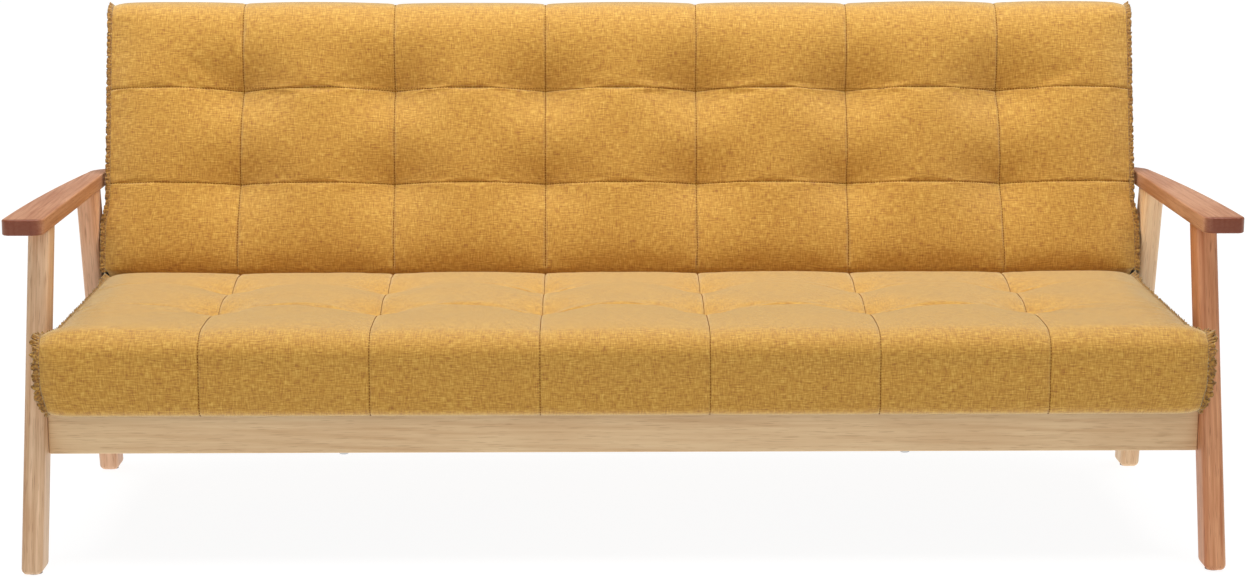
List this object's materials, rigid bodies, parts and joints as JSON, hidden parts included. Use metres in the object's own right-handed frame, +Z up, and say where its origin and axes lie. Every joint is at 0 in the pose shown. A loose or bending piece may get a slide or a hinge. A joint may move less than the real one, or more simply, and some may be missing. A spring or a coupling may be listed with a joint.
{
  "type": "sofa bed",
  "caption": "Upholstered sofa bed on raked wooden side frames, with flat armrests and a tufted backrest that folds down level with the seat.",
  "frame": {"origin": "on the floor, at the middle of the whole sofa's footprint box", "axes": "+X along the sofa, to the right for someone facing it; +Y from its front to its back; +Z up"},
  "size_m": [1.824, 0.7312, 0.7962],
  "materials": {
    "leg_wood": "satin",
    "arm_wood": "satin",
    "rail_wood": "satin",
    "inner_wood": "matte",
    "fabric": "matte",
    "foam": "matte",
    "dust_cloth": "matte",
    "hinge_steel": "satin",
    "zinc_steel": "satin",
    "foot_pad": "matte"
  },
  "bodies": {
    "frame": {"front_leg_left": "leg_wood", "foot_pad_front_left": "foot_pad", "frame_bolt_front_left": "zinc_steel", "seat_bolt_front_left": "zinc_steel", "rear_leg_left": "leg_wood", "foot_pad_rear_left": "foot_pad", "frame_bolt_rear_left": "zinc_steel", "seat_bolt_rear_left": "zinc_steel", "armrest_left": "arm_wood", "side_rail_left": "rail_wood", "hinge_pin_left": "hinge_steel", "seat_hinge_plate_left": "hinge_steel", "seat_hinge_screw_left_1": "zinc_steel", "seat_hinge_screw_left_2": "zinc_steel", "front_leg_right": "leg_wood", "foot_pad_front_right": "foot_pad", "frame_bolt_front_right": "zinc_steel", "seat_bolt_front_right": "zinc_steel", "rear_leg_right": "leg_wood", "foot_pad_rear_right": "foot_pad", "frame_bolt_rear_right": "zinc_steel", "seat_bolt_rear_right": "zinc_steel", "armrest_right": "arm_wood", "side_rail_right": "rail_wood", "hinge_pin_right": "hinge_steel", "seat_hinge_plate_right": "hinge_steel", "seat_hinge_screw_right_1": "zinc_steel", "seat_hinge_screw_right_2": "zinc_steel", "front_rail": "rail_wood", "rear_rail": "rail_wood", "cross_rail": "rail_wood", "centre_beam": "rail_wood", "seat_cover": "fabric", "seat_foam": "foam", "seat_dust_cloth": "dust_cloth", "seat_frame_front": "inner_wood", "seat_frame_rear": "inner_wood", "seat_frame_left": "inner_wood", "seat_frame_right": "inner_wood", "seat_slat_1": "inner_wood", "seat_slat_2": "inner_wood", "seat_slat_3": "inner_wood", "seat_slat_4": "inner_wood"},
    "backrest": {"back_hinge_plate_left": "hinge_steel", "back_hinge_screw_left_1": "zinc_steel", "back_hinge_screw_left_2": "zinc_steel", "back_hinge_plate_right": "hinge_steel", "back_hinge_screw_right_1": "zinc_steel", "back_hinge_screw_right_2": "zinc_steel", "back_cover": "fabric", "back_foam": "foam", "back_rear_panel": "fabric", "back_frame_top": "inner_wood", "back_frame_bottom": "inner_wood", "back_frame_left": "inner_wood", "back_frame_right": "inner_wood", "back_slat_1": "inner_wood", "back_slat_2": "inner_wood", "back_slat_3": "inner_wood", "back_slat_4": "inner_wood"}
  },
  "joints": [
    {"name": "backrest_recline", "type": "hinge", "parent": "frame", "child": "backrest", "pos_m": [0, 0.16156, 0.331], "axis": [-1, 0, 0], "range_deg": [-8, 75]}
  ]
}
